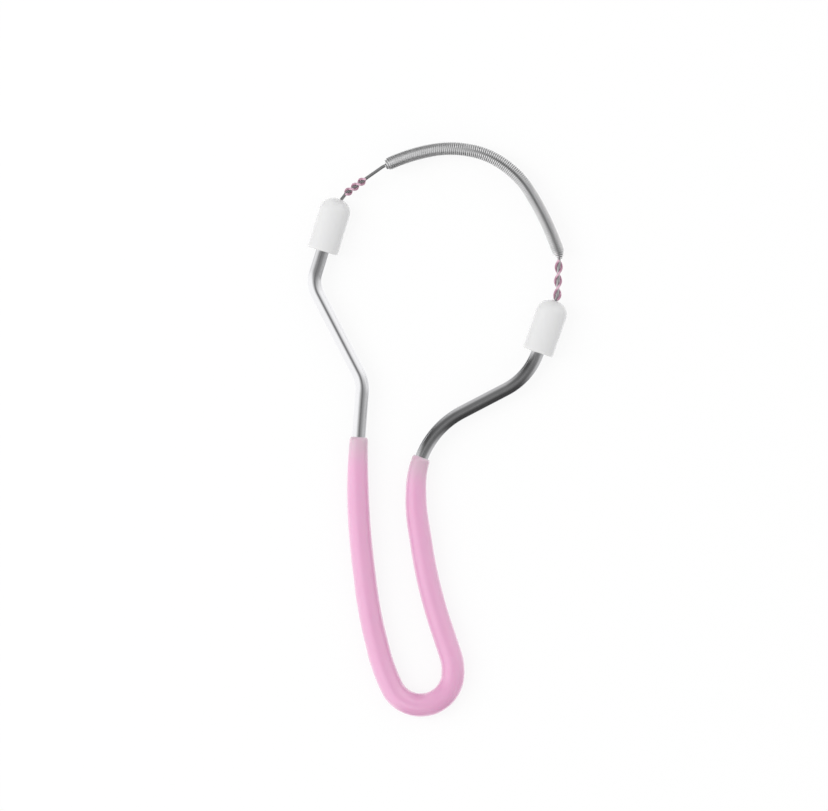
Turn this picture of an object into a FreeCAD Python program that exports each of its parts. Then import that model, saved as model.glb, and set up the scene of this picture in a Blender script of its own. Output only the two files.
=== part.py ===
import FreeCAD, Part

import math
import os

from FreeCAD import Placement, Rotation, Vector

# Facial hair removal spring, sizes in millimetres.
# A steel bow, bent in one plane, holds a coil spring stretched in an arc between two end caps.
# The bow is drawn flat with x to the right and y towards the coil, then laid on its caps and its grip.
# A bend is (x, y, radius): the corner where two straight runs would meet, and the radius that rounds it.

# Bow wire, from the left cap down the left arm, round the grip loop and up to the right cap
wire_diameter = 2.8
left_arm_bends = [
    (-24.32, 28.21, 5.5),
    (-14.50, 9.22, 7.0),
]
left_leg_bends = [
    (-16.15, -11.94, 134.0),
    (-13.39, -35.38, 85.0),
    (-10.61, -46.49, 36.0),
]
loop_bends = [
    (-7.29, -53.57, 6.2),
    (2.96, -53.57, 6.2),
    (2.96, -45.28, 9.5),
]
right_leg_bends = [
    (-1.85, -30.85, 93.0),
    (-4.40, -14.66, 37.0),
]
right_arm_bends = [
    (-3.68, -1.07, 16.5),
    (17.72, 10.10, 12.8),
]

# Each cap sits on the straight end of its arm: how far from the arm's last bend, and its lean from +y
left_end_run = 6.66
left_end_tilt = 17.0
right_end_run = 5.08
right_end_tilt = 19.2

# Dipped vinyl grip: thin at its two edges, thickest round the loop
left_bare_length = 38.45
right_bare_length = 31.25
grip_edge_diameter = 3.6
grip_leg_diameter = 4.4
grip_loop_diameter = 4.6
grip_taper = 16.0

# End caps, moulded, with a blind bore for the bow wire and a small hole for the core wire
cap_diameter = 6.1
cap_length = 10.7
cap_edge = 0.4
cap_dome_length = 2.4
socket_depth = 5.5

# Stops crimped on the two ends of the core wire, held behind the bow wire in the caps
stop_diameter = 2.3
stop_length = 1.6

# Core wire, from stop to stop through the coil
# Its first bend lies inside the left cap, by the depth, and its last one beyond the right cap, by the reach
core_diameter = 0.65
left_exit_depth = 1.5
left_exit_radius = 1.2
left_core_bends = [
    (-17.78, 45.81, 1.5),
    (-13.93, 48.70, 4.0),
    (-10.63, 51.01, 3.0),
]
coil_bends = [
    (-5.97, 53.15, 34.1),
    (2.48, 54.93, 20.3),
    (10.05, 53.34, 15.9),
    (16.13, 49.03, 17.4),
    (21.33, 40.25, 53.0),
]
right_core_bends = [
    (23.60, 33.90, 3.0),
]
right_exit_reach = 0.94
right_exit_radius = 2.0

# Coil spring, close wound from a gap after the core wire's bend on its left to a reach past the one on its
# right, its last turns drawn in round the core wire
coil_wire_diameter = 0.4
coil_diameter = 2.8
coil_groove = 0.16
left_coil_gap = 0.1
right_coil_reach = 0.25
left_tip_diameter = 1.8
left_tip_length = 0.75
right_tip_diameter = 1.3
right_tip_length = 1.25

# Binding wire, two strands twisted round the core wire beside each cap
strand_diameter = 0.45
left_wrap_pitch = 3.2
left_wrap_exit_gap = 2.6
left_wrap_bend_gap = 0.1
right_wrap_pitch = 5.4
right_wrap_coil_gap = 0.2
right_wrap_cap_gap = 0.2

# Gap left between pieces that fit together
fit_gap = 0.05

# Middle of the whole outline as drawn, which is laid over the origin
outline_middle_x = -0.113
outline_middle_y = -0.017

# Flats round each long bent piece, so that its faces stay few; the flats lie at the stated diameter
wire_flat_count = 12
bore_flat_count = 8
grip_flat_count = 14
core_flat_count = 8
coil_flat_count = 8
coil_bore_flat_count = 8
stop_flat_count = 8
cap_dome_step_count = 4
strand_flat_count = 6
strand_step_count = 10

# How far a straight face may lie from the arc that it stands in for
chord_error = 0.02


def ahead(tilt):
    """Unit vector in the bow's plane, leaning to the right of +y by a tilt in degrees."""
    return Vector(math.sin(math.radians(tilt)), math.cos(math.radians(tilt)), 0)


def across_corners(diameter, flats):
    """The size over the corners of a many-sided section that measures diameter across its flats."""
    return diameter / math.cos(math.pi / flats)


def section(centre, direction, up, diameter, flats):
    """A closed many-sided outline square to direction, with a flat facing up."""
    side = direction.cross(up)
    reach = across_corners(diameter, flats) / 2
    corners = []
    for i in range(flats + 1):
        angle = 2 * math.pi * (i + 0.5) / flats
        corners.append(centre + up * (reach * math.cos(angle)) + side * (reach * math.sin(angle)))
    return Part.makePolygon(corners)


def skin(sections):
    """A solid with straight faces from each section to the next."""
    return Part.makeLoft(sections, True, True)


class Route:
    """Straight runs joined by tangent arcs, with a point and a direction at each distance along it."""

    up = Vector(0, 0, 1)

    def __init__(self, start, bends, end):
        corners = [start] + [Vector(x, y, 0) for x, y, _ in bends] + [end]
        self.pieces = []
        self.bend_ends = []
        self.length = 0.0
        here = start
        for i, (_, _, radius) in enumerate(bends, 1):
            before = (corners[i] - corners[i - 1]).normalize()
            after = (corners[i + 1] - corners[i]).normalize()
            turn = before.getAngle(after)
            setback = radius * math.tan(turn / 2)
            arc_start = corners[i] - before * setback
            self.add(here, before, arc_start.distanceToPoint(here), 0.0)
            side = 1.0 if before.cross(after).z > 0 else -1.0
            self.bend_ends.append((self.length, self.length + radius * turn))
            self.add(arc_start, before, radius * turn, side / radius)
            here = corners[i] + after * setback
        self.add(here, (end - here).normalize(), end.distanceToPoint(here), 0.0)

    def add(self, first, direction, length, curvature):
        self.pieces.append((self.length, length, first, direction, curvature))
        self.length += length

    def at(self, distance):
        """The point and the unit direction at a distance from the start."""
        began, _, first, direction, curvature = [p for p in self.pieces if p[0] <= distance + 1e-9][-1]
        along = distance - began
        if curvature == 0.0:
            return first + direction * along, direction
        turned = Rotation(self.up, math.degrees(along * curvature))
        centre = first + self.up.cross(direction) / curvature
        return centre + turned.multVec(first - centre), turned.multVec(direction)

    def wire(self, start, end):
        """The runs and arcs between two distances."""
        edges = []
        for began, length, _, _, curvature in self.pieces:
            first = max(start, began)
            last = min(end, began + length)
            if last - first < 1e-6:
                continue
            points = [self.at(d)[0] for d in (first, (first + last) / 2, last - 1e-9)]
            if curvature == 0.0:
                edges.append(Part.LineSegment(points[0], points[2]).toShape())
            else:
                edges.append(Part.Arc(*points).toShape())
        return Part.Wire(edges)

    def swept(self, start, end, diameter, flats):
        """A many-sided bar that follows the route's true arcs between two distances."""
        point, direction = self.at(start)
        profile = Part.Face(section(point, direction, self.up, diameter, flats))
        return self.wire(start, end).makePipe(profile)

    def steps(self, start, end, longest=math.inf):
        """Distances from start to end, close enough together for straight faces to follow the arcs."""
        found = [start]
        for began, length, _, _, curvature in self.pieces:
            first = max(start, began)
            last = min(end, began + length)
            if last - first < 1e-6:
                continue
            chord = math.sqrt(8 * chord_error / abs(curvature)) if curvature else math.inf
            count = math.ceil((last - first) / min(chord, longest, last - first))
            found += [first + (last - first) * i / count for i in range(1, count + 1)]
        return found

    def stepped(self, start, end, diameter, flats):
        """A many-sided bar made of short straight lengths between two distances."""
        places = [self.at(d) for d in self.steps(start, end)]
        return skin([section(point, direction, self.up, diameter, flats) for point, direction in places])


# Where the caps sit, and the two routes

left_corner = Vector(*left_arm_bends[0][:2], 0)
right_corner = Vector(*right_arm_bends[-1][:2], 0)
left_axis = ahead(left_end_tilt)
right_axis = ahead(right_end_tilt)
left_mouth = left_corner + left_axis * left_end_run
right_mouth = right_corner + right_axis * right_end_run
stop_seat = socket_depth + fit_gap
bore_depth = stop_seat + stop_length + fit_gap

bow_route = Route(
    left_mouth + left_axis * socket_depth,
    left_arm_bends + left_leg_bends + loop_bends + right_leg_bends + right_arm_bends,
    right_mouth + right_axis * socket_depth,
)
left_exit = left_mouth + left_axis * (cap_length - left_exit_depth)
right_exit = right_mouth + right_axis * (cap_length + right_exit_reach)
core_route = Route(
    left_mouth + left_axis * stop_seat,
    [(left_exit.x, left_exit.y, left_exit_radius)]
    + left_core_bends
    + coil_bends
    + right_core_bends
    + [(right_exit.x, right_exit.y, right_exit_radius)],
    right_mouth + right_axis * stop_seat,
)
wire_clearance = across_corners(wire_diameter, wire_flat_count) + 2 * fit_gap
core_clearance = across_corners(core_diameter, core_flat_count) + 2 * fit_gap


def grip():
    """The vinyl grip round the loop and both legs, with its bore for the bow wire."""
    start = socket_depth + left_bare_length
    end = bow_route.length - socket_depth - right_bare_length
    sections = []
    for distance in bow_route.steps(start, end, grip_taper / 4):
        from_edge = min(distance - start, end - distance)
        to_middle = (end - start) / 2
        if from_edge < grip_taper:
            share = math.sin(from_edge / grip_taper * math.pi / 2)
            diameter = grip_edge_diameter + (grip_leg_diameter - grip_edge_diameter) * share
        else:
            share = (from_edge - grip_taper) / (to_middle - grip_taper)
            diameter = grip_leg_diameter + (grip_loop_diameter - grip_leg_diameter) * share
        point, direction = bow_route.at(distance)
        sections.append(section(point, direction, Route.up, diameter, grip_flat_count))
    bore = bow_route.stepped(start - fit_gap, end + fit_gap, wire_clearance, bore_flat_count)
    return skin(sections).cut(bore)


def cap(mouth, tilt, core_hole):
    """An end cap: a turned body with a domed end, its blind bore and the core wire's hole."""
    radius = cap_diameter / 2
    profile = [Vector(0, 0, 0), Vector(radius - cap_edge, 0, 0), Vector(radius, cap_edge, 0)]
    for i in range(cap_dome_step_count):
        angle = math.pi / 2 * i / cap_dome_step_count
        height = cap_length - cap_dome_length * (1 - math.sin(angle))
        profile.append(Vector(radius * math.cos(angle), height, 0))
    profile += [Vector(0, cap_length, 0), Vector(0, 0, 0)]
    body = Part.Face(Part.makePolygon(profile)).revolve(Vector(0, 0, 0), Vector(0, 1, 0), 360)
    bore = Part.makeCylinder(wire_clearance / 2, bore_depth, Vector(0, 0, 0), Vector(0, 1, 0))
    shape = body.cut(bore)
    shape.Placement = Placement(mouth, Rotation(Route.up, -tilt))
    return shape.cut(core_hole)


def stop(mouth, axis):
    """A ferrule crimped on one end of the core wire."""
    ends = [mouth + axis * stop_seat, mouth + axis * (stop_seat + stop_length)]
    body = skin([section(end, axis, Route.up, stop_diameter, stop_flat_count) for end in ends])
    return body.cut(skin([section(end, axis, Route.up, core_clearance, core_flat_count) for end in ends]))


def coil_spring():
    """The close-wound coil: one ridge for each turn, hollow, drawn in at both ends."""
    halves = 2 * round((coil_end - coil_start) / coil_wire_diameter)
    sections = []
    for i in range(halves + 1):
        distance = coil_start + (coil_end - coil_start) * i / halves
        left_share = min(1.0, (distance - coil_start) / left_tip_length)
        right_share = min(1.0, (coil_end - distance) / right_tip_length)
        left_size = left_tip_diameter + (coil_diameter - left_tip_diameter) * left_share
        right_size = right_tip_diameter + (coil_diameter - right_tip_diameter) * right_share
        valley = 0.0 if i % 2 else 2 * coil_groove
        size = min(left_size, right_size) - valley
        point, direction = core_route.at(distance)
        sections.append(section(point, direction, Route.up, size, coil_flat_count))
    inner_diameter = coil_diameter - 2 * coil_wire_diameter
    bore_start = coil_start + left_tip_length + coil_wire_diameter
    bore_end = coil_end - right_tip_length - coil_wire_diameter
    bore = core_route.stepped(bore_start, bore_end, inner_diameter, coil_bore_flat_count)
    holes = [
        core_route.stepped(coil_start - fit_gap, bore_start + fit_gap, core_clearance, core_flat_count),
        core_route.stepped(bore_end - fit_gap, coil_end + fit_gap, core_clearance, core_flat_count),
    ]
    return skin(sections).cut([bore] + holes)


def wrap(start, end, pitch):
    """Two strands of binding wire, half a turn apart, twisted round a stretch of the core wire."""
    reach = across_corners(strand_diameter, strand_flat_count) / 2
    helix_radius = (core_clearance / 2 + reach) / math.cos(math.pi / strand_step_count)
    climb = pitch / (2 * math.pi)
    steps = math.ceil((end - start) / pitch * strand_step_count)
    strands = []
    for first_angle in (0.0, math.pi):
        sections = []
        up = Route.up * math.cos(first_angle)
        for i in range(steps + 1):
            climbed = (end - start) * i / steps
            angle = first_angle + climbed / climb
            point, axis = core_route.at(start + climbed)
            side = axis.cross(Route.up)
            outward = Route.up * math.cos(angle) + side * math.sin(angle)
            sideways = side * math.cos(angle) - Route.up * math.sin(angle)
            direction = (axis * climb + sideways * helix_radius).normalize()
            up = (up - direction * up.dot(direction)).normalize()
            centre = point + outward * helix_radius
            sections.append(section(centre, direction, up, strand_diameter, strand_flat_count))
        strands.append(skin(sections))
    return Part.makeCompound(strands)


def resting_place():
    """The placement that lays the bow on its two caps and its grip loop, with its middle over the origin."""
    loop_bottom = (Vector(*loop_bends[0][:2], 0) + Vector(*loop_bends[1][:2], 0)) / 2
    touching = [
        left_mouth + Route.up * (cap_diameter / 2),
        right_mouth + Route.up * (cap_diameter / 2),
        loop_bottom + Route.up * (grip_loop_diameter / 2),
    ]
    normal = (touching[1] - touching[0]).cross(touching[2] - touching[0]).normalize()
    if normal.z < 0:
        normal = normal * -1
    height = normal.dot(touching[0]) / normal.z
    base = Vector(-outline_middle_x, -outline_middle_y, height)
    return Placement(base, Rotation(Route.up, normal))


# Where things start and end along the core wire

coil_start = core_route.bend_ends[len(left_core_bends)][1] + left_coil_gap
coil_end = core_route.bend_ends[-1 - len(right_core_bends)][1] + right_coil_reach
left_wrap_start = core_route.bend_ends[0][1] + left_wrap_exit_gap
left_wrap_end = core_route.bend_ends[len(left_core_bends) - 1][0] - left_wrap_bend_gap
right_wrap_start = coil_end + right_wrap_coil_gap
right_wrap_end = core_route.length - (cap_length - stop_seat) - right_wrap_cap_gap
left_hole_end = core_route.bend_ends[0][1] + cap_dome_length
right_hole_start = core_route.bend_ends[-1][0]
right_hole_end = core_route.length - stop_length
left_hole = core_route.stepped(stop_length, left_hole_end, core_clearance, core_flat_count)
right_hole = core_route.stepped(right_hole_start, right_hole_end, core_clearance, core_flat_count)

shapes = {
    "bow_wire": bow_route.swept(0, bow_route.length, wire_diameter, wire_flat_count),
    "grip": grip(),
    "left_cap": cap(left_mouth, left_end_tilt, left_hole),
    "right_cap": cap(right_mouth, right_end_tilt, right_hole),
    "left_stop": stop(left_mouth, left_axis),
    "right_stop": stop(right_mouth, right_axis),
    "core_wire": core_route.stepped(0, core_route.length, core_diameter, core_flat_count),
    "coil_spring": coil_spring(),
    "left_wrap": wrap(left_wrap_start, left_wrap_end, left_wrap_pitch),
    "right_wrap": wrap(right_wrap_start, right_wrap_end, right_wrap_pitch),
}

os.makedirs("parts", exist_ok=True)
resting = resting_place()
for name, shape in shapes.items():
    shape.Placement = resting.multiply(shape.Placement)
    shape.exportStep(f"parts/{name}.step")
    print(name, shape.isValid(), shape.ShapeType, len(shape.Solids), round(shape.Volume, 3), len(shape.Faces))
print("bow", round(bow_route.length, 2), "core", round(core_route.length, 2))
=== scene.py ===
import math

import bpy
from bpy.props import FloatProperty, FloatVectorProperty, IntProperty, PointerProperty
from mathutils import Matrix, Vector, noise


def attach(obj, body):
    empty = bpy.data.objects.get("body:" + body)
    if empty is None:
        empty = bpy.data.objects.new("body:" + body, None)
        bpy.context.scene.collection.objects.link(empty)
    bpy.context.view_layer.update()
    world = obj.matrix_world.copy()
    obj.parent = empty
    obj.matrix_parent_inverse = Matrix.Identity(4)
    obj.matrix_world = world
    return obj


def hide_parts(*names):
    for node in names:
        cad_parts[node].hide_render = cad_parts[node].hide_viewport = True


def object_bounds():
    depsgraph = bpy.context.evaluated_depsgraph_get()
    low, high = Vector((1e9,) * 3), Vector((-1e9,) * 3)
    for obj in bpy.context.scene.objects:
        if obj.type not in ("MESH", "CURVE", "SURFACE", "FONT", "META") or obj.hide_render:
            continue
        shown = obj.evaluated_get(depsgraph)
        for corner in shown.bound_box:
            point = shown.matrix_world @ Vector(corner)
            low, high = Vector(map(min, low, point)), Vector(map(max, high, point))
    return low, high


bl_info = {
    "name": "Facial hair removal spring",
    "version": (1, 0, 0),
    "blender": (4, 5, 0),
    "location": "3D View > Sidebar > Hair spring",
    "description": "Finished surfaces for a wire bow with its dipped grip, end caps and coil spring",
    "category": "Object",
}

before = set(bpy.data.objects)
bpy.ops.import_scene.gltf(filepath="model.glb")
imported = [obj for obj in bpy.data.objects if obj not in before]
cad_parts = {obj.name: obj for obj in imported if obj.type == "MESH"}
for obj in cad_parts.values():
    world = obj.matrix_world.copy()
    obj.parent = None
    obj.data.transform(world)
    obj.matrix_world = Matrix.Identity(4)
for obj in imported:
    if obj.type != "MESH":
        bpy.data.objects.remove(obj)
cad_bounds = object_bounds()

MM = 0.001

# The bow and the core wire as they are bent, drawn flat in millimetres, x to the right and y to the coil.
# A bend is (x, y, radius): the corner where two straight runs would meet, and the radius that rounds it.
LEFT_ARM_BENDS = [
    (-24.32, 28.21, 5.5),
    (-14.50, 9.22, 7.0),
]
LEFT_LEG_BENDS = [
    (-16.15, -11.94, 134.0),
    (-13.39, -35.38, 85.0),
    (-10.61, -46.49, 36.0),
]
LOOP_BENDS = [
    (-7.29, -53.57, 6.2),
    (2.96, -53.57, 6.2),
    (2.96, -45.28, 9.5),
]
RIGHT_LEG_BENDS = [
    (-1.85, -30.85, 93.0),
    (-4.40, -14.66, 37.0),
]
RIGHT_ARM_BENDS = [
    (-3.68, -1.07, 16.5),
    (17.72, 10.10, 12.8),
]
LEFT_CORE_BENDS = [
    (-17.78, 45.81, 1.5),
    (-13.93, 48.70, 4.0),
    (-10.63, 51.01, 3.0),
]
COIL_BENDS = [
    (-5.97, 53.15, 34.1),
    (2.48, 54.93, 20.3),
    (10.05, 53.34, 15.9),
    (16.13, 49.03, 17.4),
    (21.33, 40.25, 53.0),
]
RIGHT_CORE_BENDS = [
    (23.60, 33.90, 3.0),
]
LEFT_EXIT_RADIUS = 1.2
RIGHT_EXIT_RADIUS = 2.0

# Each cap sits on the straight end of its arm: how far from the arm's last bend, and its lean from +y
LEFT_END_RUN = 6.66 * MM
LEFT_END_TILT = 17.0
RIGHT_END_RUN = 5.08 * MM
RIGHT_END_TILT = 19.2

# Where the core wire bends as it leaves each cap: inside the left one's end, and beyond the right one's
LEFT_EXIT_DEPTH = 1.5 * MM
RIGHT_EXIT_REACH = 0.94 * MM

# Bore of each cap, and the bare stretches of the bow wire between the caps and the grip
SOCKET_DEPTH = 5.5 * MM
STOP_LENGTH = 1.6 * MM
LEFT_BARE_LENGTH = 38.45 * MM
RIGHT_BARE_LENGTH = 31.25 * MM
FIT_GAP = 0.05 * MM
ROUNDING_ERROR = 1e-12

# Middle of the whole outline as drawn, which is laid over the origin
OUTLINE_MIDDLE = Vector((-0.113 * MM, -0.017 * MM, 0))

UP = Vector((0, 0, 1))

# The round pieces stay this far inside the outline of the flat-sided solids
TRIM = 0.003 * MM

# Mesh sides round each piece, and the spacing of its rings
BOW_SIDES = 40
GRIP_SIDES = 48
CAP_SIDES = 64
CORE_SIDES = 20
BINDING_SIDES = 14
BINDING_STEPS = 40
LIP_RINGS = 8
WIRE_RING_SPACING = 0.5 * MM
CORE_RING_SPACING = 0.2 * MM
CAP_RING_SPACING = 0.1 * MM
LINE_SPACING = 0.25 * MM

# Bumps in the grip's surface for a metre of it
DIPS_PER_METRE = 180

# A cap's half section in millimetres. Two arcs make the dome, its shoulder and its crown: how far in from the
# side and back from the end the corner of each lies, and its radius.
CAP_CLEARANCE = 0.1
MOUTH_ROUNDING = 0.12
RIM_ROUNDING = 0.3
SHOULDER_BACK = 1.592
SHOULDER_RADIUS = 2.31
CROWN_IN = 1.351
CROWN_BACK = 0.241
CROWN_RADIUS = 2.98
HOLE_BACK = 0.02
HOLE_ROUNDING = 0.08
SEAT_ROUNDING = 0.05
SOCKET_ROUNDING = 0.1

# What polished steel reflects, by direction. A pair is where a soft edge starts and where it ends: parts of a
# unit vector across the overhead screen, along it or upwards, or degrees round the horizon from +x.
SCREEN_PARTS = (0.15, 0.55)
HAZE_HEIGHT = (0.1, 0.75)
HAZE_EDGE = (-0.15, 0.25)
HAZE_STRENGTH = 0.35
UPPER_CORNER = (62.0, 100.0)
LOWER_CORNER = (-118.0, -80.0)
CORNER_HEIGHT = (0.55, 0.75)
CORNER_DEPTH = 0.85
SIDE_SCREEN = (-24.0, -2.0)
SIDE_HEIGHT = (0.6, 0.95)
SIDE_STRENGTH = 0.7
HORIZON_SOFTNESS = 8.0
GROUND_HEIGHT = (-0.8, -0.35)
DEEP_REACH = (0.45, 0.75)
DEEP_EDGE = (-0.05, 0.15)
DEEP_STRENGTH = 0.6

# The lamp on the left, and its width and height
KEY_PLACE = Vector((-0.75, 0.15, 0.9))
KEY_WIDTH = 0.5
KEY_HEIGHT = 0.9

# The picture's width and height in pixels, and where the outline's middle lies in it
PICTURE_WIDTH = 828
PICTURE_HEIGHT = 811
MIDDLE_COLUMN = 437.75
MIDDLE_ROW = 429.3
SENSOR_WIDTH = 36.0
FARTHEST_SEEN = 10.0


class Route:
    """Straight runs joined by tangent arcs in one plane, with a point and a direction at each distance."""

    def __init__(self, start, bends, end):
        corners = [start] + [Vector((x, y, 0)) * MM for x, y, _ in bends] + [end]
        self.pieces = []
        self.bend_ends = []
        self.length = 0.0
        here = start
        for i, (_, _, radius) in enumerate(bends, 1):
            before = (corners[i] - corners[i - 1]).normalized()
            after = (corners[i + 1] - corners[i]).normalized()
            turn = before.angle(after)
            setback = radius * MM * math.tan(turn / 2)
            arc_start = corners[i] - before * setback
            self.add(here, before, (arc_start - here).length, 0.0)
            side = 1.0 if before.cross(after).z > 0 else -1.0
            self.bend_ends.append((self.length, self.length + radius * MM * turn))
            self.add(arc_start, before, radius * MM * turn, side / (radius * MM))
            here = corners[i] + after * setback
        self.add(here, (end - here).normalized(), (end - here).length, 0.0)

    def add(self, first, direction, length, curvature):
        """One more straight run or arc; a straight run has no curvature."""
        self.pieces.append((self.length, first, direction, curvature))
        self.length += length

    def at(self, distance):
        """The point and the unit direction at a distance from the start."""
        began, first, direction, curvature = [p for p in self.pieces if p[0] <= distance + ROUNDING_ERROR][-1]
        along = distance - began
        if curvature == 0.0:
            return first + direction * along, direction
        turned = Matrix.Rotation(along * curvature, 3, UP)
        centre = first + UP.cross(direction) / curvature
        return centre + turned @ (first - centre), turned @ direction

    def places(self, start, end, spacing):
        """Distances from start to end at an even spacing."""
        count = math.ceil((end - start) / spacing)
        return [start + (end - start) * i / count for i in range(count + 1)]


def ahead(tilt):
    """Unit vector in the bow's plane, leaning to the right of +y by a tilt in degrees."""
    return Vector((math.sin(math.radians(tilt)), math.cos(math.radians(tilt)), 0))


def corner(bend):
    """The place of a bend's corner in metres."""
    return Vector((bend[0], bend[1], 0)) * MM


LEFT_AXIS = ahead(LEFT_END_TILT)
RIGHT_AXIS = ahead(RIGHT_END_TILT)
LEFT_MOUTH = corner(LEFT_ARM_BENDS[0]) + LEFT_AXIS * LEFT_END_RUN
RIGHT_MOUTH = corner(RIGHT_ARM_BENDS[-1]) + RIGHT_AXIS * RIGHT_END_RUN


def bow_route():
    """The bow wire's route, from inside the left cap round the loop to inside the right cap."""
    bends = LEFT_ARM_BENDS + LEFT_LEG_BENDS + LOOP_BENDS + RIGHT_LEG_BENDS + RIGHT_ARM_BENDS
    return Route(LEFT_MOUTH + LEFT_AXIS * SOCKET_DEPTH, bends, RIGHT_MOUTH + RIGHT_AXIS * SOCKET_DEPTH)


def core_route(cap_length):
    """The core wire's route, from the left cap's stop through the coil to the right cap's stop."""
    left_exit = (LEFT_MOUTH + LEFT_AXIS * (cap_length - LEFT_EXIT_DEPTH)) / MM
    right_exit = (RIGHT_MOUTH + RIGHT_AXIS * (cap_length + RIGHT_EXIT_REACH)) / MM
    bends = [(left_exit.x, left_exit.y, LEFT_EXIT_RADIUS)]
    bends += LEFT_CORE_BENDS + COIL_BENDS + RIGHT_CORE_BENDS
    bends += [(right_exit.x, right_exit.y, RIGHT_EXIT_RADIUS)]
    seat = SOCKET_DEPTH + FIT_GAP
    return Route(LEFT_MOUTH + LEFT_AXIS * seat, bends, RIGHT_MOUTH + RIGHT_AXIS * seat)


def laid(cap_diameter, loop_diameter):
    """The transform that lays the bow on its two caps and its grip loop, with its middle over the origin."""
    loop_bottom = (corner(LOOP_BENDS[0]) + corner(LOOP_BENDS[1])) / 2
    left = LEFT_MOUTH + UP * (cap_diameter / 2)
    right = RIGHT_MOUTH + UP * (cap_diameter / 2)
    loop = loop_bottom + UP * (loop_diameter / 2)
    normal = (right - left).cross(loop - left).normalized()
    if normal.z < 0:
        normal = -normal
    height = normal.dot(left) / normal.z
    tilt = UP.rotation_difference(normal).to_matrix().to_4x4()
    return Matrix.Translation(UP * height - OUTLINE_MIDDLE) @ tilt


class Value:
    """A node's output, on which arithmetic adds Math nodes."""

    def __init__(self, graph, socket):
        self.graph = graph
        self.socket = socket

    def math(self, operation, *others):
        """A Math node's result, with this value as its first."""
        return self.graph.math(operation, self, *others)

    def __add__(self, other):
        return self.math("ADD", other)

    def __radd__(self, other):
        return self.graph.math("ADD", other, self)

    def __sub__(self, other):
        return self.math("SUBTRACT", other)

    def __rsub__(self, other):
        return self.graph.math("SUBTRACT", other, self)

    def __mul__(self, other):
        return self.math("MULTIPLY", other)

    def __rmul__(self, other):
        return self.graph.math("MULTIPLY", other, self)

    def __truediv__(self, other):
        return self.math("DIVIDE", other)


class Graph:
    """Writes the nodes of a material, a world or a geometry tree."""

    def __init__(self, tree):
        self.tree = tree
        self.tree.nodes.clear()

    def node(self, kind, settings=None, sockets=None):
        """A new node: its settings first, then the value or the link of each socket."""
        new = self.tree.nodes.new(kind)
        for name, value in (settings or {}).items():
            setattr(new, name, value)
        for name, value in (sockets or {}).items():
            if isinstance(value, Value):
                self.tree.links.new(value.socket, new.inputs[name])
            else:
                new.inputs[name].default_value = value
        return new

    def make(self, kind, settings=None, sockets=None, output=0):
        """The same, as the value of one of its outputs."""
        return Value(self, self.node(kind, settings, sockets).outputs[output])

    def math(self, operation, *operands):
        """The result of a Math node."""
        return self.make("ShaderNodeMath", {"operation": operation}, dict(enumerate(operands)))

    def smooth(self, value, low, high):
        """0 below low, 1 above high, with a smooth step between."""
        sockets = {"Value": value, "From Min": low, "From Max": high}
        return self.make("ShaderNodeMapRange", {"interpolation_type": "SMOOTHSTEP"}, sockets)

    def band(self, value, low, high, softness):
        """1 between low and high, fading to 0 over the softness on each side of them."""
        rise = self.smooth(value, low - softness, low + softness)
        return rise * (1 - self.smooth(value, high - softness, high + softness))

    def blend(self, share, first, second):
        """A colour from first to second as share goes from 0 to 1."""
        sockets = {"Factor": share, 6: first, 7: second}
        return self.make("ShaderNodeMix", {"data_type": "RGBA"}, sockets, output=2)

    def noise(self, position, scale, detail=2.0):
        """Soft clouds between 0 and 1, smaller as scale grows."""
        sockets = {"Vector": position, "Scale": scale, "Detail": detail}
        return self.make("ShaderNodeTexNoise", {}, sockets, output="Fac")

    def stretched(self, vector, scale):
        """A vector scaled by a different amount on each axis."""
        return self.make("ShaderNodeVectorMath", {"operation": "MULTIPLY"}, {0: vector, 1: scale})

    def bump(self, height, distance):
        """A normal that follows a height of 0 to 1, whose full rise is the distance."""
        return self.make("ShaderNodeBump", {}, {"Height": height, "Distance": distance, "Strength": 1.0})

    def finish(self, shader_sockets):
        """Principled shader with these sockets, wired to the material's output."""
        shader = self.make("ShaderNodeBsdfPrincipled", {}, shader_sockets)
        self.node("ShaderNodeOutputMaterial", {}, {"Surface": shader})


def material(name):
    """A new empty material and the graph that writes its nodes."""
    new = bpy.data.materials.new(name)
    new.use_nodes = True
    return new, Graph(new.node_tree)


def colour(rgb, share=1.0):
    """A colour for a socket, darkened to a share of itself."""
    return (rgb[0] * share, rgb[1] * share, rgb[2] * share, 1.0)


def steel(name, rgb, roughness, line_depth):
    """Drawn and polished steel wire: clear reflections, with faint lines along the wire from its map."""
    new, graph = material(name)
    around = graph.make("ShaderNodeTexCoord", output="UV")
    lines = graph.noise(graph.stretched(around, (60.0, 9.0, 1.0)), 1.0, 3.0)
    position = graph.make("ShaderNodeTexCoord", output="Object")
    smears = graph.noise(position, 240.0)
    graph.finish({
        "Base Color": graph.blend(smears, colour(rgb, 0.93), colour(rgb)),
        "Metallic": 1.0,
        "Roughness": roughness * (0.75 + smears * 0.5),
        "Normal": graph.bump(lines, line_depth),
    })
    return new


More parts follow.
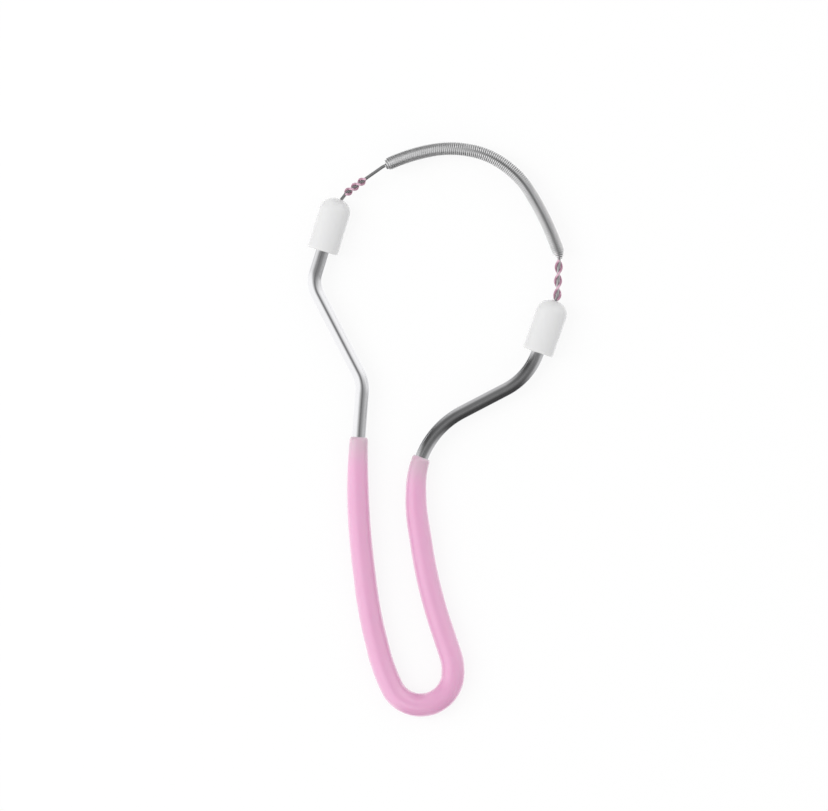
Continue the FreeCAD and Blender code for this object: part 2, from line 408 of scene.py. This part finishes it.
def vinyl(name, grip, length):
    """Dipped soft vinyl: greyer where it thins towards its edges, slightly mottled, with a soft gloss."""
    new, graph = material(name)
    place = graph.make("ShaderNodeTexCoord", output="UV")
    along = graph.make("ShaderNodeSeparateXYZ", {}, {0: place}, output=1)
    from_edge = along.math("MINIMUM", 1.0 - along) * length
    thick = graph.smooth(from_edge, 0.0, grip.thin_length)
    position = graph.make("ShaderNodeTexCoord", output="Object")
    clouds = graph.noise(position, 130.0, 3.0)
    fine = graph.noise(position, 2200.0)
    pink = graph.blend(clouds, colour(grip.vinyl_colour, 0.95), colour(grip.vinyl_colour))
    graph.finish({
        "Base Color": graph.blend(thick, colour(grip.thin_colour), pink),
        "Roughness": grip.roughness + clouds * 0.08,
        "Subsurface Weight": 0.4,
        "Subsurface Radius": (0.9 * MM, 0.5 * MM, 0.7 * MM),
        "Subsurface Scale": 1.0,
        "Specular IOR Level": 0.9,
        "Coat Weight": 1.0,
        "Coat Roughness": 0.25,
        "Sheen Weight": 0.5,
        "Sheen Roughness": 0.35,
        "Sheen Tint": colour((1.0, 0.88, 0.95)),
        "Normal": graph.bump(clouds * 6.0 + fine, 0.006 * MM),
    })
    return new


def plastic(name, rgb, roughness):
    """Moulded white plastic, slightly translucent, with a trace of the mould's grain."""
    new, graph = material(name)
    position = graph.make("ShaderNodeTexCoord", output="Object")
    grain = graph.noise(position, 900.0, 3.0)
    flow = graph.noise(position, 160.0)
    graph.finish({
        "Base Color": graph.blend(flow, colour(rgb, 0.97), colour(rgb)),
        "Roughness": roughness + grain * 0.06,
        "Subsurface Weight": 0.3,
        "Subsurface Radius": (1.2 * MM, 1.2 * MM, 1.1 * MM),
        "Subsurface Scale": 1.0,
        "Normal": graph.bump(grain, 0.004 * MM),
    })
    return new


def enamel(name, rgb, rubbed_and_highlight_rgb):
    """Enamelled binding wire: a mauve coat with pale worn specks, and a painted highlight along the top and
    the bottom of each turn, where strands cross over.
    """
    new, graph = material(name)
    position = graph.make("ShaderNodeTexCoord", output="Object")
    specks = graph.smooth(graph.noise(position, 1500.0), 0.5, 0.75) * 0.6
    crest_highlight = graph.make("ShaderNodeAttribute", {"attribute_name": "crest_highlight"}, output="Fac")
    # The pale colour marks worn specks, and a painted highlight on each turn's crest.
    rubbed_and_highlit = specks.math("MAXIMUM", graph.smooth(crest_highlight, 0.8, 1.0) * 0.8)
    graph.finish({
        "Base Color": graph.blend(rubbed_and_highlit, colour(rgb), colour(rubbed_and_highlight_rgb)),
        "Metallic": 0.3,
        "Roughness": 0.3 + rubbed_and_highlit * 0.15,
        "Coat Weight": 0.4,
        "Coat Roughness": 0.2,
        "Normal": graph.bump(rubbed_and_highlit, 0.005 * MM),
    })
    return new


def ring(centre, direction, radius, sides):
    """Points evenly round a circle square to direction, from the top."""
    side = direction.cross(UP)
    points = []
    for i in range(sides):
        angle = 2 * math.pi * i / sides
        points.append(centre + UP * (radius * math.cos(angle)) + side * (radius * math.sin(angle)))
    return points


def skin(name, rings, shares, transform, wrapped=False):
    """A closed mesh through rings of points, with a map: round the ring by the given share along."""
    sides = len(rings[0])
    points = [p for r in rings for p in r]
    faces = []
    corners = []
    for i in range(len(rings) if wrapped else len(rings) - 1):
        following = (i + 1) % len(rings)
        for j in range(sides):
            beside = (j + 1) % sides
            quad = (i * sides + j, i * sides + beside, following * sides + beside, following * sides + j)
            faces.append(quad)
            here, there = shares[i], shares[i + 1]
            left, right = j / sides, (j + 1) / sides
            corners += [(left, here), (right, here), (right, there), (left, there)]
    if not wrapped:
        faces.append(tuple(reversed(range(sides))))
        faces.append(tuple((len(rings) - 1) * sides + j for j in range(sides)))
        corners += [(j / sides, shares[0]) for j in reversed(range(sides))]
        corners += [(j / sides, shares[-1]) for j in range(sides)]
    mesh = bpy.data.meshes.new(name)
    mesh.from_pydata(points, [], faces)
    mesh.uv_layers.new(name="UVMap").data.foreach_set("uv", [value for uv in corners for value in uv])
    mesh.transform(transform)
    mesh.shade_smooth()
    return mesh


def piece(name, mesh, finish, slot, *nodes):
    """The finished object, riding on the one body in place of these nodes."""
    new = bpy.data.objects.new(name, mesh)
    bpy.context.scene.collection.objects.link(new)
    mesh.materials.clear()
    mesh.materials.append(finish)
    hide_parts(*nodes)
    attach(new, "root")


def size(name, description, default):
    """A length that a user would change, in metres."""
    return FloatProperty(
        name=name, description=description, default=default, min=0.0, unit="LENGTH", precision=5
    )


def tint(name, description, default):
    """A colour that a user would change."""
    return FloatVectorProperty(
        name=name, description=description, default=default, size=3, min=0.0, max=1.0, subtype="COLOR"
    )


def fraction(name, description, default):
    """A share between 0 and 1."""
    return FloatProperty(
        name=name, description=description, default=default, min=0.0, max=1.0, subtype="FACTOR"
    )


def brightness(name, description, default):
    """The strength of a light, where 1 shows as plain white."""
    return FloatProperty(name=name, description=description, default=default, min=0.0)


def number(name, description, default):
    """A whole number of sides or steps."""
    return IntProperty(name=name, description=description, default=default, min=3)


class BowSettings(bpy.types.PropertyGroup):
    wire_diameter: size("Wire diameter", "Thickness of the bow wire", 2.8 * MM)
    ring_spacing: size("Ring spacing", "Distance between the mesh's rings along the wire", WIRE_RING_SPACING)
    steel_colour: tint("Steel", "Colour of the polished steel", (0.79, 0.79, 0.805))
    roughness: fraction("Roughness", "Blur of its reflections", 0.17)


class GripSettings(bpy.types.PropertyGroup):
    edge_diameter: size("Edge diameter", "Thickness at the grip's two edges", 3.6 * MM)
    leg_diameter: size("Leg diameter", "Thickness past the taper", 4.4 * MM)
    loop_diameter: size("Loop diameter", "Thickness at the middle of the loop", 4.6 * MM)
    taper: size("Taper", "Length over which the grip thickens", 16.0 * MM)
    lip: size("Lip", "Length of the rounding at each edge", 0.7 * MM)
    unevenness: size("Unevenness", "How far the dipped surface dips below its true size", 0.03 * MM)
    thin_length: size("Thin length", "Length over which the steel shows through the thin vinyl", 7.0 * MM)
    vinyl_colour: tint("Vinyl", "Colour of the pink vinyl", (0.76, 0.385, 0.592))
    thin_colour: tint("Thin vinyl", "Colour at its thin edges", (0.64, 0.45, 0.54))
    roughness: fraction("Roughness", "Blur of its gloss", 0.28)


class CapSettings(bpy.types.PropertyGroup):
    diameter: size("Diameter", "Outside diameter of a cap", 6.1 * MM)
    length: size("Length", "Length of a cap", 10.7 * MM)
    plastic_colour: tint("Plastic", "Colour of the white plastic", (0.72, 0.72, 0.722))
    roughness: fraction("Roughness", "Blur of its gloss", 0.22)


class CoreSettings(bpy.types.PropertyGroup):
    diameter: size("Diameter", "Thickness of the core wire", 0.65 * MM)
    steel_colour: tint("Steel", "Colour of the drawn wire", (0.58, 0.58, 0.585))
    roughness: fraction("Roughness", "Blur of its reflections", 0.4)


class CoilSettings(bpy.types.PropertyGroup):
    wire_diameter: size("Wire diameter", "Thickness of the coil's wire", 0.4 * MM)
    diameter: size("Diameter", "Outside diameter of the coil", 2.8 * MM)
    left_gap: size("Left gap", "From the core wire's bend on the left to the coil", 0.1 * MM)
    right_reach: size("Right reach", "How far the coil passes the bend on the right", 0.25 * MM)
    left_tip: size("Left tip", "Outside diameter of the first turn on the left", 1.8 * MM)
    left_tip_length: size("Left tip length", "Length that is drawn in on the left", 0.75 * MM)
    right_tip: size("Right tip", "Outside diameter of the last turn on the right", 1.47 * MM)
    right_tip_length: size("Right tip length", "Length that is drawn in on the right", 1.25 * MM)
    steps_per_turn: number("Steps", "Mesh steps in each turn", 28)
    strand_sides: number("Sides", "Mesh sides round the coil's wire", 10)
    steel_colour: tint("Steel", "Colour of the spring steel", (0.84, 0.84, 0.845))
    roughness: fraction("Roughness", "Blur of its reflections", 0.2)


class WrapSettings(bpy.types.PropertyGroup):
    strand_diameter: size("Strand diameter", "Thickness of the binding wire", 0.45 * MM)
    left_pitch: size("Left pitch", "Length of one turn beside the left cap", 3.2 * MM)
    left_exit_gap: size("Left gap", "From the core wire's bend in the left cap to the binding", 2.6 * MM)
    left_bend_gap: size("Bend gap", "From the binding on the left to the next bend", 0.1 * MM)
    right_pitch: size("Right pitch", "Length of one turn beside the right cap", 5.4 * MM)
    right_coil_gap: size("Coil gap", "From the coil to the binding on the right", 0.2 * MM)
    right_cap_gap: size("Right gap", "From the binding on the right to the right cap", 0.2 * MM)
    enamel_colour: tint("Enamel", "Colour of the binding wire", (0.46, 0.24, 0.33))
    # Pale colour of the worn specks and of the painted highlight on the binding's turns
    rubbed_and_highlight_colour: tint("Rubbed enamel", "Colour where the enamel is rubbed", (0.92, 0.62, 0.75))


class StageSettings(bpy.types.PropertyGroup):
    photo_scale: FloatProperty(
        name="Scale", description="Pixels of the picture for a millimetre", default=5.15, min=0.1
    )
    camera_height: size("Camera height", "Height of the camera over the bow wire", 1.2)
    floor_size: size("Floor size", "Width of the floor", 3.0)
    floor_colour: tint("Floor", "Colour of the floor", (0.9, 0.9, 0.9))
    floor_glow: fraction("Floor glow", "Share of plain white in the floor", 0.85)
    room_light: brightness("Room light", "The even light on everything", 0.9)
    wall_light: brightness("Wall light", "White walls as steel shows them", 1.2)
    screen_light: brightness("Screen light", "Dark screen as steel shows it", 0.13)
    screen_turn: FloatProperty(
        name="Screen turn",
        description="Direction that lies square to the screen, from +x",
        default=math.radians(47.0),
        subtype="ANGLE",
    )
    key_power: FloatProperty(
        name="Key power", description="Power of the lamp on the left", default=4.5, min=0.0, unit="POWER"
    )


def settings():
    """The scene's settings of the hair spring."""
    return bpy.context.scene.hair_spring


class HairSpringSettings(bpy.types.PropertyGroup):
    bow: PointerProperty(type=BowSettings)
    grip: PointerProperty(type=GripSettings)
    cap: PointerProperty(type=CapSettings)
    core: PointerProperty(type=CoreSettings)
    coil: PointerProperty(type=CoilSettings)
    wrap: PointerProperty(type=WrapSettings)
    stage: PointerProperty(type=StageSettings)


def resting():
    """The transform that lays a piece drawn in the bow's plane on the floor."""
    return laid(settings().cap.diameter, settings().grip.loop_diameter)


def tube(name, route, start, end, radius, sides, spacing):
    """A round bar along a route."""
    places = route.places(start, end, spacing)
    rings = [ring(*route.at(place), radius, sides) for place in places]
    shares = [(place - start) / (end - start) for place in places]
    return skin(name, rings, shares, resting())


class BuildBow(bpy.types.Operator):
    """Builds the polished steel bow wire"""

    bl_idname = "hair_spring.bow"
    bl_label = "Bow wire"

    def execute(self, context):
        bow = settings().bow
        route = bow_route()
        radius = bow.wire_diameter / 2 - TRIM
        mesh = tube("steel_bow", route, 0, route.length, radius, BOW_SIDES, bow.ring_spacing)
        finish = steel("polished_steel", bow.steel_colour, bow.roughness, 0.004 * MM)
        piece("steel_bow", mesh, finish, "bow_steel", "bow_wire")
        return {"FINISHED"}


def grip_radius(from_edge, half_length, grip):
    """The grip's outside radius at a distance from its nearer edge."""
    if from_edge < grip.taper:
        share = math.sin(from_edge / grip.taper * math.pi / 2)
        return (grip.edge_diameter + (grip.leg_diameter - grip.edge_diameter) * share) / 2
    share = (from_edge - grip.taper) / (half_length - grip.taper)
    return (grip.leg_diameter + (grip.loop_diameter - grip.leg_diameter) * share) / 2


class BuildGrip(bpy.types.Operator):
    """Builds the dipped vinyl grip, with its rounded lips and slightly uneven surface"""

    bl_idname = "hair_spring.grip"
    bl_label = "Grip"

    def execute(self, context):
        grip = settings().grip
        inner = settings().bow.wire_diameter / 2 + FIT_GAP / 2
        route = bow_route()
        start = SOCKET_DEPTH + LEFT_BARE_LENGTH
        end = route.length - SOCKET_DEPTH - RIGHT_BARE_LENGTH
        half = (end - start) / 2
        lip = [grip.lip * (1 - math.cos(math.pi / 2 * i / LIP_RINGS)) for i in range(LIP_RINGS)]
        middle = route.places(start + grip.lip, end - grip.lip, WIRE_RING_SPACING)
        places = [start + d for d in lip] + middle + [end - d for d in reversed(lip)]
        rings = []
        shares = []
        for place in places:
            from_edge = min(place - start, end - place)
            radius = grip_radius(from_edge, half, grip)
            rounding = 1 - min(1.0, from_edge / grip.lip)
            radius = inner + (radius - inner) * math.sqrt(1 - rounding * rounding)
            centre, direction = route.at(place)
            points = []
            for point in ring(centre, direction, radius, GRIP_SIDES):
                cloud = 0.5 + 0.5 * noise.noise(point * DIPS_PER_METRE)
                dip = cloud * grip.unevenness * (1 - rounding)
                points.append(point + (centre - point).normalized() * dip)
            rings.append(points)
            shares.append((place - start) / (end - start))
        for place in reversed(places):
            rings.append(ring(*route.at(place), inner - FIT_GAP / 4, GRIP_SIDES))
            shares.append((place - start) / (end - start))
        mesh = skin("vinyl_grip", rings, shares + shares[:1], resting(), wrapped=True)
        finish = vinyl("pink_vinyl", grip, end - start)
        piece("vinyl_grip", mesh, finish, "pink_vinyl", "grip")
        return {"FINISHED"}


class BuildCaps(bpy.types.Operator):
    """Builds the two moulded end caps, bored for the bow wire and the core wire"""

    bl_idname = "hair_spring.caps"
    bl_label = "End caps"

    def execute(self, context):
        cap = settings().cap
        finish = plastic("white_plastic", cap.plastic_colour, cap.roughness)
        radius = (cap.diameter / 2 - TRIM) / MM
        length = cap.length / MM
        bore = settings().bow.wire_diameter / 2 / MM + CAP_CLEARANCE
        hole = settings().core.diameter / 2 / MM + CAP_CLEARANCE
        depth = (SOCKET_DEPTH + STOP_LENGTH) / MM + CAP_CLEARANCE
        half_way = Vector((bore, depth / 2, 0)) * MM
        bends = [
            (bore, 0.0, MOUTH_ROUNDING),
            (radius, 0.0, RIM_ROUNDING),
            (radius, length - SHOULDER_BACK, SHOULDER_RADIUS),
            (radius - CROWN_IN, length - CROWN_BACK, CROWN_RADIUS),
            (hole, length - HOLE_BACK, HOLE_ROUNDING),
            (hole, depth, SEAT_ROUNDING),
            (bore, depth, SOCKET_ROUNDING),
        ]
        profile = Route(half_way, bends, half_way)
        places = profile.places(0, profile.length, CAP_RING_SPACING)[:-1]
        ends = [
            ("left_end_cap", LEFT_MOUTH, LEFT_AXIS, "left_cap"),
            ("right_end_cap", RIGHT_MOUTH, RIGHT_AXIS, "right_cap"),
        ]
        for name, mouth, axis, node in ends:
            rings = []
            for place in places:
                point = profile.at(place)[0]
                rings.append(ring(mouth + axis * point.y, axis, point.x, CAP_SIDES))
            shares = [place / profile.length for place in places] + [1.0]
            mesh = skin(name, rings, shares, resting(), wrapped=True)
            piece(name, mesh, finish, "white_plastic", node)
        return {"FINISHED"}


class BuildCore(bpy.types.Operator):
    """Builds the core wire that runs through the coil, and finishes the two stops on its ends"""

    bl_idname = "hair_spring.core"
    bl_label = "Core wire"

    def execute(self, context):
        core = settings().core
        route = core_route(settings().cap.length)
        radius = core.diameter / 2
        mesh = tube("drawn_core", route, 0, route.length, radius, CORE_SIDES, CORE_RING_SPACING)
        finish = steel("drawn_wire", core.steel_colour, core.roughness, 0.002 * MM)
        piece("drawn_core", mesh, finish, "core_steel", "core_wire")
        for node in ("left_stop", "right_stop"):
            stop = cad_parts[node]
            stop.data.materials.clear()
            stop.data.materials.append(finish)
        return {"FINISHED"}


def winding_tree():
    """Geometry nodes that wind strands round the curve they are given, drawn in at both ends.

    Each strand is marked with how near it is to its highest or lowest place, where strands cross, for the
    painted highlight on the binding.
    """
    tree = bpy.data.node_groups.new("winding", "GeometryNodeTree")
    graph = Graph(tree)
    tree.interface.new_socket("Geometry", in_out="INPUT", socket_type="NodeSocketGeometry")
    for name in ("Pitch", "Winding radius", "Strand radius"):
        tree.interface.new_socket(name, in_out="INPUT", socket_type="NodeSocketFloat")
    for name in ("Left radius", "Left length", "Right radius", "Right length"):
        tree.interface.new_socket(name, in_out="INPUT", socket_type="NodeSocketFloat")
    for name in ("Strands", "Steps per turn", "Strand sides"):
        tree.interface.new_socket(name, in_out="INPUT", socket_type="NodeSocketInt")
    tree.interface.new_socket("Finish", in_out="INPUT", socket_type="NodeSocketMaterial")
    tree.interface.new_socket("Geometry", in_out="OUTPUT", socket_type="NodeSocketGeometry")
    inputs = graph.node("NodeGroupInput")
    given = {socket.name: Value(graph, socket) for socket in inputs.outputs if socket.name}

    total = graph.make("GeometryNodeCurveLength", {}, {"Curve": given["Geometry"]})
    turns = total / given["Pitch"]
    steps = turns * given["Steps per turn"]
    count = steps.math("ROUND") + 1
    sampled = graph.make("GeometryNodeResampleCurve", {}, {"Curve": given["Geometry"], "Count": count})
    copies = graph.node(
        "GeometryNodeDuplicateElements",
        {"domain": "SPLINE"},
        {"Geometry": sampled, "Amount": given["Strands"]},
    )
    copy_index = Value(graph, copies.outputs["Duplicate Index"])

    along = graph.make("GeometryNodeSplineParameter", output="Factor")
    angle = (along * turns + copy_index / given["Strands"]) * (2 * math.pi)
    from_left = along * total
    from_right = total - from_left
    full = given["Winding radius"]
    left = given["Left radius"] + (full - given["Left radius"]) * from_left / given["Left length"]
    right = given["Right radius"] + (full - given["Right radius"]) * from_right / given["Right length"]
    radius = left.math("MINIMUM", right).math("MINIMUM", full)
    sine = angle.math("SINE")
    cosine = angle.math("COSINE")

    tangent = graph.make("GeometryNodeInputTangent")
    side = graph.make(
        "ShaderNodeVectorMath", {"operation": "CROSS_PRODUCT"}, {0: tangent, 1: (0, 0, 1)}
    )
    sideways = graph.make(
        "ShaderNodeVectorMath", {"operation": "SCALE"}, {0: side, "Scale": radius * sine}
    )
    upwards = graph.make("ShaderNodeCombineXYZ", {}, {"Z": radius * cosine})
    offset = graph.make("ShaderNodeVectorMath", {"operation": "ADD"}, {0: sideways, 1: upwards})
    wound = graph.make(
        "GeometryNodeSetPosition",
        {},
        {"Geometry": Value(graph, copies.outputs["Geometry"]), "Offset": offset},
    )
    # Marks each turn's crest, where the enamel paints its highlight
    marked = graph.make(
        "GeometryNodeStoreNamedAttribute",
        {"data_type": "FLOAT", "domain": "POINT"},
        {"Geometry": wound, "Name": "crest_highlight", "Value": cosine.math("ABSOLUTE")},
    )
    outline = graph.make(
        "GeometryNodeCurvePrimitiveCircle",
        {"mode": "RADIUS"},
        {"Resolution": given["Strand sides"], "Radius": given["Strand radius"]},
    )
    strand = graph.make(
        "GeometryNodeCurveToMesh", {}, {"Curve": marked, "Profile Curve": outline, "Fill Caps": True}
    )
    smooth = graph.make("GeometryNodeSetShadeSmooth", {}, {"Geometry": strand})
    real = graph.make("GeometryNodeRealizeInstances", {}, {"Geometry": smooth})
    finished = graph.make(
        "GeometryNodeSetMaterial", {}, {"Geometry": real, "Material": given["Finish"]}
    )
    graph.node("NodeGroupOutput", {}, {"Geometry": finished})
    return tree


def wound_mesh(name, points, values):
    """A plain mesh of the strands that the winding tree makes round a line of points."""
    curve = bpy.data.curves.new(name, "CURVE")
    curve.dimensions = "3D"
    spline = curve.splines.new("POLY")
    spline.points.add(len(points) - 1)
    for target, point in zip(spline.points, points):
        target.co = (*point, 1.0)
    source = bpy.data.objects.new(name + "_line", curve)
    bpy.context.scene.collection.objects.link(source)
    modifier = source.modifiers.new("winding", "NODES")
    modifier.node_group = bpy.data.node_groups.get("winding") or winding_tree()
    for item in modifier.node_group.interface.items_tree:
        if item.in_out == "INPUT" and item.name in values:
            modifier[item.identifier] = values[item.name]
    evaluated = source.evaluated_get(bpy.context.evaluated_depsgraph_get())
    mesh = bpy.data.meshes.new_from_object(evaluated)
    source.modifiers.remove(modifier)
    bpy.data.objects.remove(source)
    mesh.transform(resting())
    return mesh


def coil_ends(route):
    """Where the coil starts and ends along the core wire."""
    coil = settings().coil
    start = route.bend_ends[len(LEFT_CORE_BENDS)][1] + coil.left_gap
    return start, route.bend_ends[-1 - len(RIGHT_CORE_BENDS)][1] + coil.right_reach


class BuildCoil(bpy.types.Operator):
    """Winds the coil spring round its line, each turn against the next"""

    bl_idname = "hair_spring.coil"
    bl_label = "Coil spring"

    def execute(self, context):
        coil = settings().coil
        route = core_route(settings().cap.length)
        start, end = coil_ends(route)
        wire = coil.wire_diameter
        places = route.places(start + wire / 2, end - wire / 2, LINE_SPACING)
        points = [route.at(place)[0] for place in places]
        finish = steel("spring_steel", coil.steel_colour, coil.roughness, 0.0)
        mesh = wound_mesh("wound_coil", points, {
            "Pitch": wire,
            "Winding radius": (coil.diameter - wire) / 2,
            "Strand radius": wire / 2,
            "Left radius": (coil.left_tip - wire) / 2,
            "Left length": coil.left_tip_length,
            "Right radius": (coil.right_tip - wire) / 2,
            "Right length": coil.right_tip_length,
            "Strands": 1,
            "Steps per turn": coil.steps_per_turn,
            "Strand sides": coil.strand_sides,
            "Finish": finish,
        })
        piece("wound_coil", mesh, finish, "coil_steel", "coil_spring")
        return {"FINISHED"}


class BuildWraps(bpy.types.Operator):
    """Twists the two strands of binding wire round the core wire beside each cap"""

    bl_idname = "hair_spring.wraps"
    bl_label = "Binding wire"

    def execute(self, context):
        wrap = settings().wrap
        route = core_route(settings().cap.length)
        finish = enamel("mauve_enamel", wrap.enamel_colour, wrap.rubbed_and_highlight_colour)
        radius = (settings().core.diameter + wrap.strand_diameter) / 2 + FIT_GAP / 2
        last_bend_start = route.bend_ends[len(LEFT_CORE_BENDS) - 1][0]
        left = (route.bend_ends[0][1] + wrap.left_exit_gap, last_bend_start - wrap.left_bend_gap)
        cap_end = route.length - (settings().cap.length - SOCKET_DEPTH - FIT_GAP)
        right = (coil_ends(route)[1] + wrap.right_coil_gap, cap_end - wrap.right_cap_gap)
        stretches = [
            ("left_binding", left, wrap.left_pitch, "left_wrap"),
            ("right_binding", right, wrap.right_pitch, "right_wrap"),
        ]
        for name, (start, end), pitch, node in stretches:
            points = [route.at(place)[0] for place in route.places(start, end, LINE_SPACING)]
            mesh = wound_mesh(name, points, {
                "Pitch": pitch,
                "Winding radius": radius,
                "Strand radius": wrap.strand_diameter / 2,
                "Left radius": radius,
                "Left length": pitch,
                "Right radius": radius,
                "Right length": pitch,
                "Strands": 2,
                "Steps per turn": BINDING_STEPS,
                "Strand sides": BINDING_SIDES,
                "Finish": finish,
            })
            piece(name, mesh, finish, "binding_wire", node)
        return {"FINISHED"}


class BuildStage(bpy.types.Operator):
    """Sets the pale floor, the soft light and the camera that looks straight down"""

    bl_idname = "hair_spring.stage"
    bl_label = "Floor, light and camera"

    def execute(self, context):
        stage = settings().stage
        self.floor(stage)
        self.sky(stage)
        self.lamp(stage)
        self.camera(stage)
        return {"FINISHED"}

    def floor(self, stage):
        """A pale floor that shows plain white with a trace of shadow, and that steel doesn't reflect."""
        half = stage.floor_size / 2
        level = cad_bounds[0][2]
        mesh = bpy.data.meshes.new("floor")
        corners = [(-half, -half, level), (half, -half, level), (half, half, level), (-half, half, level)]
        mesh.from_pydata(corners, [], [(0, 1, 2, 3)])
        finish, graph = material("pale_floor")
        path = graph.node("ShaderNodeLightPath")
        seen = Value(graph, path.outputs["Is Camera Ray"])
        through = Value(graph, path.outputs["Is Transmission Ray"])
        shown = seen.math("MAXIMUM", through) * stage.floor_glow
        paint = graph.make("ShaderNodeBsdfDiffuse", {}, {"Color": colour(stage.floor_colour)})
        glow = graph.make("ShaderNodeEmission", {}, {"Color": (1, 1, 1, 1), "Strength": 1.0})
        mixed = graph.make("ShaderNodeMixShader", {}, {0: shown, 1: paint, 2: glow})
        graph.node("ShaderNodeOutputMaterial", {}, {"Surface": mixed})
        mesh.materials.append(finish)
        floor = bpy.data.objects.new("floor", mesh)
        floor.visible_glossy = False
        bpy.context.scene.collection.objects.link(floor)

    def sky(self, stage):
        """An even white room, in place of which steel reflects white walls with dark screens."""
        world = bpy.data.worlds.new("studio")
        world.use_nodes = True
        bpy.context.scene.world = world
        graph = Graph(world.node_tree)
        path = graph.node("ShaderNodeLightPath")
        seen = Value(graph, path.outputs["Is Camera Ray"])
        mirrored = Value(graph, path.outputs["Is Glossy Ray"])
        light = stage.room_light + mirrored * (self.reflected(graph, stage) - stage.room_light)
        strength = light + seen * (1 - light)
        ground = graph.make("ShaderNodeBackground", {}, {"Color": (1, 1, 1, 1), "Strength": strength})
        graph.node("ShaderNodeOutputWorld", {}, {"Surface": ground})

    def reflected(self, graph, stage):
        """The brightness that steel reflects from each direction.

        A dark screen lies overhead, from the upper left of the picture to its lower right, between white
        walls. Two corners and one side of the room are dark as well, and everything below is white.
        """
        direction = graph.make("ShaderNodeTexCoord", output="Generated")
        parts = graph.node("ShaderNodeSeparateXYZ", {}, {0: direction})
        x, y, z = [Value(graph, parts.outputs[i]) for i in range(3)]
        turn = stage.screen_turn
        across = x * math.cos(turn) + y * math.sin(turn)
        along = y * math.cos(turn) - x * math.sin(turn)
        azimuth = y.math("ARCTAN2", x) * (180 / math.pi)
        upper = graph.smooth(along, *SCREEN_PARTS)
        lower = graph.smooth(0 - along, *SCREEN_PARTS)

        def edge(middle, above, below):
            """A wall's edge at the screen's middle, with its shift in the upper and the lower part."""
            return middle + upper * above + lower * below

        right_wall = graph.smooth(across, edge(-0.05, 0.14, 0.0), edge(0.75, 0.25, 0.5))
        left_wall = graph.smooth(0 - across, edge(-0.05, 0.22, 0.4), edge(0.6, -0.08, 0.3))
        walls = right_wall.math("MAXIMUM", left_wall)
        low = 1 - graph.smooth(z, *HAZE_HEIGHT)
        haze = low * graph.smooth(across, *HAZE_EDGE) * HAZE_STRENGTH
        screen = (1 - walls) * (1 - haze)

        upper_corner = graph.band(azimuth, *UPPER_CORNER, HORIZON_SOFTNESS)
        lower_corner = graph.band(azimuth, *LOWER_CORNER, HORIZON_SOFTNESS)
        corners = (upper_corner + lower_corner) * (1 - graph.smooth(z, *CORNER_HEIGHT))
        side = graph.band(azimuth, *SIDE_SCREEN, HORIZON_SOFTNESS)
        side = side * (1 - graph.smooth(z, *SIDE_HEIGHT)) * SIDE_STRENGTH
        dark = screen.math("MAXIMUM", side).math("MAXIMUM", corners) * graph.smooth(z, *GROUND_HEIGHT)

        deep = graph.smooth(along.math("ABSOLUTE"), *DEEP_REACH) * graph.smooth(0 - across, *DEEP_EDGE)
        deepest = (deep * DEEP_STRENGTH).math("MAXIMUM", corners * CORNER_DEPTH)
        shade = stage.screen_light * (1 - deepest)
        return stage.wall_light - dark * (stage.wall_light - shade)

    def lamp(self, stage):
        """A soft lamp on the left for the pale surfaces, which steel doesn't reflect."""
        light = bpy.data.lights.new("key", "AREA")
        light.shape = "RECTANGLE"
        light.size = KEY_WIDTH
        light.size_y = KEY_HEIGHT
        light.energy = stage.key_power
        key = bpy.data.objects.new("key", light)
        key.location = KEY_PLACE
        key.visible_glossy = False
        key.rotation_euler = (-KEY_PLACE).to_track_quat("-Z", "Y").to_euler()
        bpy.context.scene.collection.objects.link(key)

    def camera(self, stage):
        """A camera that looks straight down and frames the object as the picture does."""
        pixel = MM / stage.photo_scale
        lens = bpy.data.cameras.new("camera")
        lens.sensor_width = SENSOR_WIDTH
        lens.lens = SENSOR_WIDTH * stage.camera_height / (PICTURE_WIDTH * pixel)
        lens.clip_end = FARTHEST_SEEN
        camera = bpy.data.objects.new("camera", lens)
        across = (PICTURE_WIDTH / 2 - MIDDLE_COLUMN) * pixel - OUTLINE_MIDDLE.x
        up = (MIDDLE_ROW - PICTURE_HEIGHT / 2) * pixel - OUTLINE_MIDDLE.y
        wire_height = (cad_bounds[0][2] + cad_bounds[1][2]) / 2
        camera.location = (across, up, wire_height + stage.camera_height)
        bpy.context.scene.collection.objects.link(camera)
        bpy.context.scene.camera = camera
        bpy.context.scene.view_settings.view_transform = "Standard"


BUILDERS = [BuildBow, BuildGrip, BuildCaps, BuildCore, BuildCoil, BuildWraps, BuildStage]


class HairSpringPanel(bpy.types.Panel):
    """Lists the pieces of the hair spring"""

    bl_idname = "VIEW3D_PT_hair_spring"
    bl_label = "Hair spring"
    bl_space_type = "VIEW_3D"
    bl_region_type = "UI"
    bl_category = "Hair spring"

    def draw(self, context):
        for builder in BUILDERS:
            self.layout.operator(builder.bl_idname)


CLASSES = [
    BowSettings,
    GripSettings,
    CapSettings,
    CoreSettings,
    CoilSettings,
    WrapSettings,
    StageSettings,
    HairSpringSettings,
    *BUILDERS,
    HairSpringPanel,
]


def register():
    for item in CLASSES:
        bpy.utils.register_class(item)
    bpy.types.Scene.hair_spring = PointerProperty(type=HairSpringSettings)


def unregister():
    del bpy.types.Scene.hair_spring
    for item in reversed(CLASSES):
        bpy.utils.unregister_class(item)


def main():
    register()
    bpy.ops.hair_spring.bow()
    bpy.ops.hair_spring.grip()
    bpy.ops.hair_spring.caps()
    bpy.ops.hair_spring.core()
    bpy.ops.hair_spring.coil()
    bpy.ops.hair_spring.wraps()
    bpy.ops.hair_spring.stage()


if __name__ == "__main__":
    main()
